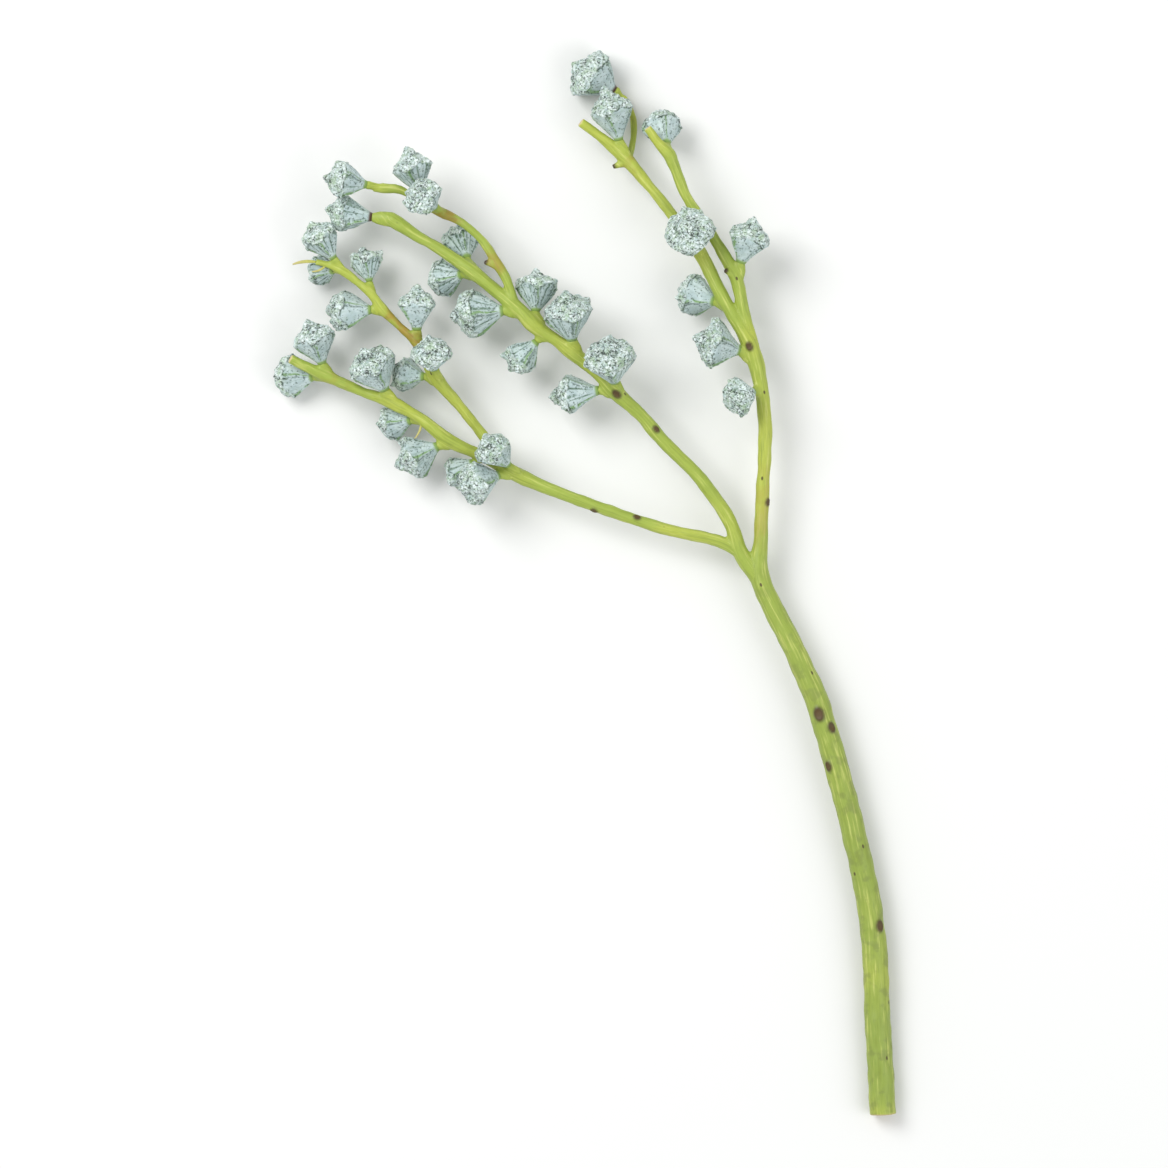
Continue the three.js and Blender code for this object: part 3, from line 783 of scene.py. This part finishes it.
def closed_skin(rows):
    """Faces between rows of points, and a fan at each end, round the last two points."""
    faces = []
    for j in range(rows - 1):
        for k in range(NUT_SIDES):
            a, b = j * NUT_SIDES + k, j * NUT_SIDES + (k + 1) % NUT_SIDES
            faces.append((a, b, b + NUT_SIDES, a + NUT_SIDES))
    top, under, over = (rows - 1) * NUT_SIDES, rows * NUT_SIDES, rows * NUT_SIDES + 1
    for k in range(NUT_SIDES):
        following = (k + 1) % NUT_SIDES
        faces += [(under, following, k), (over, top + k, top + following)]
    return faces


def whole(values, below, at_tip):
    """A mask for every point of a nut: the foot inside the stalk, the grid, and the two end points."""
    grid = np.broadcast_to(values, GRID).ravel()
    return np.concatenate([np.full(NUT_SIDES, float(below)), grid, [below, at_tip]])


def nut_shape(nut, number, rows):
    """One nut with its foot at the origin and its axis up: points, faces, and masks for its wax."""
    full, peaked = rows
    peak = 1.0 if number in POINTED else PEAK_SHARE * draw(number, 7)
    height, radius, ribbed, warty = (column[:, None] for column in (full * (1 - peak) + peaked * peak).T)
    random = np.random.default_rng(100 + number)
    grid, out, from_rib = ribbed_body(nut, number, height, radius, ribbed)
    flat = grid.reshape(-1, 3)
    cap, crease, lip, speckled = cap_edge(nut, number, flat, height, from_rib)
    wart, furrow = cap_warts(flat, cap, random)
    boss = shoulder_bosses(flat, height, random)
    wave = base_folds(height, random)
    fold = ease(height, 0.04, 0.2) * (1 - cap) * (1 - bump(from_rib, RIB_HALF_ANGLE, 1.3))
    depth = FOLD_DEPTH[0] + FOLD_DEPTH[1] * draw(number, 3) ** 2
    horn = cap_horns(nut, number, height, peak, random)
    aside = random.uniform(-KNOB_ASIDE, KNOB_ASIDE, 2) * nut.width
    lumps = sum(
        rise * ripple(flat, length, seed + number).reshape(GRID) * ease(height, start, filled)
        for rise, length, seed, start, filled in LUMPS
    )

    lift = wart * WART_HEIGHT - CREASE_DEPTH * crease + lip + boss
    lift = lift + lumps * (SMOOTH_SHARE + (1 - SMOOTH_SHARE) * warty)
    lift = lift + fold * depth * 0.5 * np.minimum(wave, FOLD_TOP)
    moved = grid + out * lift[..., None]
    moved = moved + horn[..., None] * HORN_HEIGHT * (HORN_OUT * SIDEWAYS + HORN_UP * UP)
    moved[..., :2] += ease(height, 0.8, 0.93)[..., None] * aside

    # The foot reaches down into the stalk, and the tip closes the cap
    foot_ring = flat[:NUT_SIDES] * [FOOT_TUCK, FOOT_TUCK, 0] - FOOT_OVERLAP * UP
    ends = [[0, 0, -FOOT_OVERLAP], [*aside, nut.length + KNOB_TIP]]
    points = np.concatenate([foot_ring, moved.reshape(-1, 3), ends])

    # A rib shows a green line on one side of its crest, and a line of painted shade on the other, in degrees
    # from it
    on_ribs = ease(ribbed, 0.1, 0.6) * (1 - cap)
    top = np.maximum(horn, 0.8 * ease(height, 0.92, 1.0))
    brown = float(number in BROWN_FEET)
    masks = {
        "cap": whole(cap, 0, 1),
        "furrow": whole(furrow, 0, 0),
        "rib": whole(bump(from_rib - 5, 4) * on_ribs, 0, 0),
        "rib_side": whole(bump(from_rib + 7, 3) * on_ribs, 0, 0),
        # The fold mask marks the valleys of the folds, deeper folds more, for painted shade
        "fold": whole(fold * ease(-wave, 0.35, 1.3) * ease(depth, 0.03, 0.25), 0, 0),
        # The crease mask also sets where painted shade goes in the crease at the cap's edge
        "crease": whole(crease, 0, 0),
        "speckled": whole(speckled, 0, 0.4),
        "foot": whole(ease(height * nut.length, 1.6, 0.3), 1, 0),
        "horn": whole(np.clip(top, 0, 1), 0, 0.8),
        "collar": whole(bump(height - COLLAR_HEIGHT + 0.05 * peak, COLLAR_HALF_WIDTH), 0, 0),
        "worn": whole(nut.wear, nut.wear, nut.wear),
        "brown": whole(brown, brown, 0),
    }
    return points, closed_skin(NUT_ROWS + 1), masks


def build_nut(nut, number, rows, material):
    """One nut on its stalk, turned about its own axis and then leaned the way it grew."""
    points, faces, masks = nut_shape(nut, number, rows)
    place = seat(nut)
    lean = Vector((0, 0, 1)).rotation_difference(Vector(place.axis)).to_matrix()
    turn = lean @ Matrix.Rotation(math.radians(nut.turn), 3, "Z")
    points = points @ np.array(turn).T + place.foot
    points[:, 2] = np.maximum(points[:, 2], 0)
    make_piece(f"nut_{number:02d}", points, faces, masks, material, "bloom", [f"gum_nut_{number:02d}"])


# Materials

FACTOR, UNDER, OVER, MIXED = 0, 6, 7, 2  # the colour sockets of a mix node
PRODUCT = {"operation": "MULTIPLY", "use_clamp": True}
PRODUCT_SUM = {"operation": "MULTIPLY_ADD", "use_clamp": True}
SOFT = {"interpolation_type": "SMOOTHSTEP"}
NUT_MASKS = "cap furrow rib rib_side fold crease speckled foot horn collar worn brown"
BARK_MASKS = "browned scar rim cut broken neck age"


def colour(hex_value):
    """An sRGB hex colour as linear red, green, blue and alpha."""
    channels = [int(hex_value[i : i + 2], 16) / 255 for i in (1, 3, 5)]
    return [c / 12.92 if c <= 0.04045 else ((c + 0.055) / 1.055) ** 2.4 for c in channels] + [1.0]


def join(node, inputs):
    """Sets or links the inputs of a node."""
    for name, value in inputs.items():
        if isinstance(value, bpy.types.NodeSocket):
            node.id_data.links.new(value, node.inputs[name])
        else:
            node.inputs[name].default_value = value


def add(tree, kind, settings=None, inputs=None):
    """Adds one node with its settings, and with its inputs set or linked."""
    node = tree.nodes.new(kind)
    for name, value in (settings or {}).items():
        setattr(node, name, value)
    join(node, inputs or {})
    return node


def per_metre(millimetres):
    """How often a pattern of that size comes in a metre."""
    return 1 / (millimetres * MM)


def new_material(name, masks=""):
    """A material with its tree, its surface, and the masks of the pieces that wear it."""
    material = bpy.data.materials.new(name)
    material.use_nodes = True
    tree = material.node_tree
    nodes = {mask: add(tree, "ShaderNodeAttribute", {"attribute_name": mask}) for mask in masks.split()}
    shares = {mask: node.outputs["Fac"] for mask, node in nodes.items()}
    return material, tree, tree.nodes["Principled BSDF"], shares


def blotches(tree, place, millimetres, start, full, detail=3.0):
    """Soft-edged blotches of about that size: none where the noise is at start, thickest at full."""
    sizes = {"Vector": place, "Scale": per_metre(millimetres), "Detail": detail, "Roughness": 0.6}
    noise = add(tree, "ShaderNodeTexNoise", inputs=sizes).outputs["Fac"]
    span = {"Value": noise, "From Min": start, "From Max": full}
    return add(tree, "ShaderNodeMapRange", SOFT, span).outputs["Result"]


def coat(tree, under, top, *shares):
    """A colour laid over what is under it, as thick as all its shares multiplied."""
    thickness = shares[0]
    for share in shares[1:]:
        thickness = add(tree, "ShaderNodeMath", PRODUCT, {0: thickness, 1: share}).outputs[0]
    ends = {FACTOR: thickness, UNDER: under, OVER: top}
    return add(tree, "ShaderNodeMix", {"data_type": "RGBA"}, ends).outputs[MIXED]


def bare_specks(tree, place, masks):
    """Where the wax is off: thick in the furrows between the warts, in clumps, and round the knob's foot."""
    speck = blotches(tree, place, 0.95, 0.56, 0.62, 2.0)
    patchy = blotches(tree, place, 3.6, 0.36, 0.54)
    clumps = add(tree, "ShaderNodeMath", PRODUCT_SUM, {0: masks["collar"], 1: 0.4, 2: patchy}).outputs[0]
    uneven = blotches(tree, place, 4.5, 0.4, 0.56)
    busy = add(tree, "ShaderNodeMath", PRODUCT_SUM, {0: uneven, 1: 0.75, 2: 0.25}).outputs[0]
    broken = blotches(tree, place, 1.2, 0.48, 0.58, 2.0)
    furrows = add(tree, "ShaderNodeMath", PRODUCT, {0: masks["furrow"], 1: busy}).outputs[0]
    furrows = add(tree, "ShaderNodeMath", PRODUCT, {0: furrows, 1: broken}).outputs[0]
    spotted = add(tree, "ShaderNodeMath", PRODUCT_SUM, {0: speck, 1: clumps, 2: furrows}).outputs[0]

    blots, blot_groups = blotches(tree, place, 1.3, 0.47, 0.55, 2.0), blotches(tree, place, 4.2, 0.55, 0.68)
    blotted = add(tree, "ShaderNodeMath", PRODUCT, {0: blots, 1: blot_groups}).outputs[0]
    blotted = add(tree, "ShaderNodeMath", PRODUCT, {0: blotted, 1: masks["speckled"]}).outputs[0]
    dots, dot_groups = blotches(tree, place, 1.0, 0.46, 0.56), blotches(tree, place, 4.0, 0.4, 0.6)
    dotted = add(tree, "ShaderNodeMath", PRODUCT, {0: masks["collar"], 1: dots}).outputs[0]
    both = add(tree, "ShaderNodeMath", PRODUCT_SUM, {0: dotted, 1: dot_groups, 2: blotted}).outputs[0]
    bare = {0: masks["speckled"], 1: spotted, 2: both}
    return speck, add(tree, "ShaderNodeMath", PRODUCT_SUM, bare).outputs[0]


def wax_bloom():
    """Grey-blue wax bloom on a green rind: matt and powdery, thin on the ribs, missing in the furrows, with
    painted shade in the folds, in the crease at the cap's edge and beside the ribs.
    """
    material, tree, surface, masks = new_material("gum_nut_wax_bloom", NUT_MASKS)
    place = add(tree, "ShaderNodeTexCoord").outputs["Object"]
    sides = add(tree, "ShaderNodeMath", {"operation": "SUBTRACT"}, {0: 1.0, 1: masks["cap"]}).outputs[0]

    # The wax itself, nearly white where it lies thick, then painted shade in the valleys of the folds, the
    # green rind of the ribs, and a line of painted shade beside each rib.
    # Each coat: colour, size of its blotches, where they start and are full, the part it is on, how thick
    wax = colour("#C1D0D0")
    for shade, size, start, full, part, thickness in [
        ("#ABBDBE", 5.0, 0.35, 0.65, 1.0, 1.0),
        ("#E4EDEC", 2.6, 0.36, 0.6, masks["cap"], 0.8),
        ("#A3BA98", 3.2, 0.48, 0.68, masks["speckled"], 0.7),
        ("#93AA98", 2.0, 0.45, 0.65, masks["worn"], 0.5),
        # Painted shade: darker green in the valleys of the folds
        ("#55705A", 1.1, 0.3, 0.5, masks["fold"], 0.9),
        ("#6F9450", 2.2, 0.36, 0.5, masks["rib"], 1.0),
        # Painted shade: a dark line beside each rib's crest
        ("#2F4636", 1.2, 0.42, 0.52, masks["rib_side"], 0.85),
    ]:
        wax = coat(tree, wax, colour(shade), blotches(tree, place, size, start, full), part, thickness)

    # Dark specks with a green tinge round them, and a few on the smooth sides
    speck, bare = bare_specks(tree, place, masks)
    tinge = blotches(tree, place, 0.9, 0.5, 0.6, 2.0)
    halo = add(tree, "ShaderNodeMath", PRODUCT_SUM, {0: masks["furrow"], 1: 0.6, 2: tinge}).outputs[0]
    wax = coat(tree, wax, colour("#6C8A62"), masks["speckled"], halo, 0.55)
    wax = coat(tree, wax, colour("#202C25"), bare, 0.92)
    wax = coat(tree, wax, colour("#3B4F42"), blotches(tree, place, 1.1, 0.57, 0.64, 2.0), sides, 0.75)
    # Painted shade in the crease at the cap's edge, in blotches
    wax = coat(tree, wax, colour("#35483B"), blotches(tree, place, 1.4, 0.36, 0.52), masks["crease"])
    wax = coat(tree, wax, colour("#4F4A34"), speck, masks["horn"], 0.7)
    foot = coat(tree, colour("#7E9A4C"), colour("#4B3220"), masks["brown"])

    gloss = {"Value": masks["furrow"], "To Min": 0.8, "To Max": 0.6}
    grains = {"Vector": place, "Scale": per_metre(0.45), "Detail": 4.0}
    powder = add(tree, "ShaderNodeTexNoise", inputs=grains).outputs["Fac"]
    relief = {"Height": powder, "Strength": 0.5, "Distance": 0.25 * MM}
    join(surface, {
        "Base Color": coat(tree, wax, foot, masks["foot"]),
        "Roughness": add(tree, "ShaderNodeMapRange", inputs=gloss).outputs["Result"],
        "Normal": add(tree, "ShaderNodeBump", inputs=relief).outputs["Normal"],
        "Sheen Weight": 0.2,
        "Sheen Roughness": 0.5,
        "Sheen Tint": colour("#E6F0F2"),
        "IOR": 1.45,
    })
    return material


def young_bark():
    """Smooth first-year bark: lime green and satin, ochre in stretches, with pores and leaf scars."""
    material, tree, surface, masks = new_material("young_eucalyptus_bark", BARK_MASKS)
    grain = add(tree, "ShaderNodeAttribute", {"attribute_name": "grain"}).outputs["Vector"]
    place = add(tree, "ShaderNodeTexCoord").outputs["Object"]

    # The grain runs in millimetres, and is drawn out along the limb for the streaks and less for the pores
    stretch = {"operation": "MULTIPLY"}
    streaked = add(tree, "ShaderNodeVectorMath", stretch, {0: grain, 1: (1.0, 1.0, 0.06)}).outputs["Vector"]
    oval = add(tree, "ShaderNodeVectorMath", stretch, {0: grain, 1: (1.0, 1.0, 0.55)}).outputs["Vector"]
    noises = [
        {"Vector": place, "Scale": per_metre(55), "Detail": 2.0},
        {"Vector": place, "Scale": per_metre(6), "Detail": 3.0},
        {"Vector": streaked, "Scale": 0.9, "Detail": 4.0},
        {"Vector": streaked, "Scale": 3.2, "Detail": 3.0},
    ]
    patterns = [add(tree, "ShaderNodeTexNoise", inputs=noise).outputs["Fac"] for noise in noises]
    slow, mottle, streaks, fibres = patterns

    # Each coat of colour: its pattern, where that starts and is full, the part it is on, how thick
    bark = colour("#A9B347")
    for shade, pattern, start, full, part, thickness in [
        ("#95A743", slow, 0.4, 0.6, 1.0, 1.0),
        # Darker olive on the thick wood: older bark, and partly painted shade
        ("#889A40", slow, 0.3, 0.6, masks["age"], 1.0),
        ("#C6CA70", streaks, 0.52, 0.7, 1.0, 0.6),
        ("#7E8C36", streaks, 0.46, 0.3, 1.0, 0.55),
        ("#9F8835", mottle, 0.35, 0.6, masks["browned"], 1.0),
        ("#7F652C", streaks, 0.5, 0.7, masks["browned"], 0.7),
        ("#6F7F32", fibres, 0.52, 0.7, 1.0, 0.35),
        ("#717B3C", mottle, 0.5, 0.66, masks["age"], 0.5),
    ]:
        span = {"Value": pattern, "From Min": start, "From Max": full}
        shows = add(tree, "ShaderNodeMapRange", SOFT, span).outputs["Result"]
        bark = coat(tree, bark, colour(shade), shows, part, thickness)
    bark = coat(tree, bark, colour("#93A544"), masks["neck"], 0.6)

    # Pores: small dark ovals, only in some of the cells
    cells = add(tree, "ShaderNodeTexVoronoi", inputs={"Vector": oval, "Scale": 0.19})
    chance = add(tree, "ShaderNodeSeparateColor", inputs={"Color": cells.outputs["Color"]}).outputs["Red"]
    middle = {"Value": cells.outputs["Distance"], "From Min": 0.12, "From Max": 0.07}
    dot = add(tree, "ShaderNodeMapRange", SOFT, middle).outputs["Result"]
    chosen = {"Value": chance, "From Min": 0.5, "From Max": 0.55}
    kept = add(tree, "ShaderNodeMapRange", SOFT, chosen).outputs["Result"]
    pore = add(tree, "ShaderNodeMath", PRODUCT, {0: dot, 1: kept}).outputs[0]

    # Leaf scars, broken stubs, and cut ends with their rings
    bark = coat(tree, bark, colour("#4A3A20"), pore, 0.9)
    bark = coat(tree, bark, colour("#54401F"), masks["scar"])
    bark = coat(tree, bark, colour("#3A2A14"), masks["rim"], 0.6)
    bark = coat(tree, bark, colour("#3A281A"), masks["broken"])
    growth = {"Vector": grain, "Scale": 0.35, "Distortion": 1.2, "Detail": 2.0}
    round_the_pith = {"wave_type": "RINGS", "rings_direction": "Z"}
    rings = add(tree, "ShaderNodeTexWave", round_the_pith, growth).outputs["Fac"]
    wood = coat(tree, colour("#CDBE8C"), colour("#A98B5C"), rings, 0.6)

    satin = {"Value": streaks, "To Min": 0.38, "To Max": 0.58}
    furrowed = {"Height": streaks, "Strength": 0.35, "Distance": 0.25 * MM}
    relief = add(tree, "ShaderNodeBump", inputs=furrowed).outputs["Normal"]
    pocked = {"Height": pore, "Strength": 0.6, "Distance": 0.3 * MM, "Normal": relief}
    join(surface, {
        "Base Color": coat(tree, bark, wood, masks["cut"]),
        "Roughness": add(tree, "ShaderNodeMapRange", inputs=satin).outputs["Result"],
        "Normal": add(tree, "ShaderNodeBump", inputs=pocked).outputs["Normal"],
        "IOR": 1.45,
    })
    return material


def dried_leaf():
    """A thin dried leaf: yellow green at its root, straw brown at its tip, with fine veins along it."""
    material, tree, surface, masks = new_material("dried_leaf_remnant", "dried")
    place = add(tree, "ShaderNodeTexCoord").outputs["Object"]
    fine = {"Vector": place, "Scale": per_metre(1.2), "Detail": 3.0}
    veins = add(tree, "ShaderNodeTexNoise", inputs=fine).outputs["Fac"]
    blade = coat(tree, colour("#C2C44E"), colour("#C9BD7E"), masks["dried"])
    darken = {"data_type": "RGBA", "blend_type": "MULTIPLY"}
    veined = {FACTOR: 0.4, UNDER: blade, OVER: veins}
    relief = {"Height": veins, "Strength": 0.4, "Distance": 0.1 * MM}
    join(surface, {
        "Base Color": add(tree, "ShaderNodeMix", darken, veined).outputs[MIXED],
        "Normal": add(tree, "ShaderNodeBump", inputs=relief).outputs["Normal"],
        "Roughness": 0.6,
    })
    return material


def pale_card():
    """A matt off-white studio surface with a hardly visible tooth."""
    material, tree, surface, _ = new_material("pale_studio_card")
    place = add(tree, "ShaderNodeTexCoord").outputs["Object"]
    fine = {"Vector": place, "Scale": per_metre(2), "Detail": 2.0}
    tooth = add(tree, "ShaderNodeTexNoise", inputs=fine).outputs["Fac"]
    relief = {"Height": tooth, "Strength": 0.05, "Distance": 0.1 * MM}
    join(surface, {
        "Base Color": colour("#E2E2E0"),
        "Normal": add(tree, "ShaderNodeBump", inputs=relief).outputs["Normal"],
        "Roughness": 0.9,
    })
    return material


# The sprig

bark, bloom = young_bark(), wax_bloom()
build_stem(bark)

blades = [leaf_shape(leaf) for leaf in LEAVES]
dryness = np.concatenate([np.linspace(0, 1, len(points)) for points, _ in blades])
make_piece("tip_leaves", *together(blades), {"dried": dryness}, dried_leaf(), "bark", ["stem"])

nut_rows = profile_rows()
for number, nut in enumerate(NUTS, start=1):
    build_nut(nut, number, nut_rows, bloom)

# Floor, light and camera, in metres

FLOOR_REACH = 3.0
VIEW_WIDTH = 0.545  # across the picture
VIEW_DISTANCE = 5.0
SENSOR = 36.0  # millimetres

floor_mesh = bpy.data.meshes.new("floor")
corners = [(-1, -1), (1, -1), (1, 1), (-1, 1)]
floor_mesh.from_pydata([(x * FLOOR_REACH, y * FLOOR_REACH, 0) for x, y in corners], [], [(0, 1, 2, 3)])
floor_mesh.materials.append(pale_card())
floor = bpy.data.objects.new("floor", floor_mesh)
bpy.context.scene.collection.objects.link(floor)

world = bpy.data.worlds.new("studio")
world.use_nodes = True
world.node_tree.nodes["Background"].inputs["Color"].default_value = colour("#F4F6F8")
world.node_tree.nodes["Background"].inputs["Strength"].default_value = 0.76
bpy.context.scene.world = world
bpy.context.scene.view_settings.view_transform = "Standard"


def soft_light(name, place, size, watts):
    """A square soft box that faces the middle of the sprig."""
    lamp = bpy.data.lights.new(name, "AREA")
    lamp.shape = "SQUARE"
    lamp.size = size
    lamp.energy = watts
    light = bpy.data.objects.new(name, lamp)
    light.location = place
    light.rotation_mode = "QUATERNION"
    light.rotation_quaternion = (-Vector(place)).to_track_quat("-Z", "Y")
    bpy.context.scene.collection.objects.link(light)


soft_light("key", (-1.1, 0.9, 1.7), 1.2, 34)
soft_light("fill", (1.5, -0.7, 1.6), 1.6, 16)

eye = bpy.data.cameras.new("camera")
eye.sensor_width = SENSOR
eye.lens = SENSOR * VIEW_DISTANCE / VIEW_WIDTH
camera = bpy.data.objects.new("camera", eye)
low, high = cad_box
camera.location = ((low.x + high.x) / 2, (low.y + high.y) / 2, VIEW_DISTANCE)
bpy.context.scene.collection.objects.link(camera)
bpy.context.scene.camera = camera
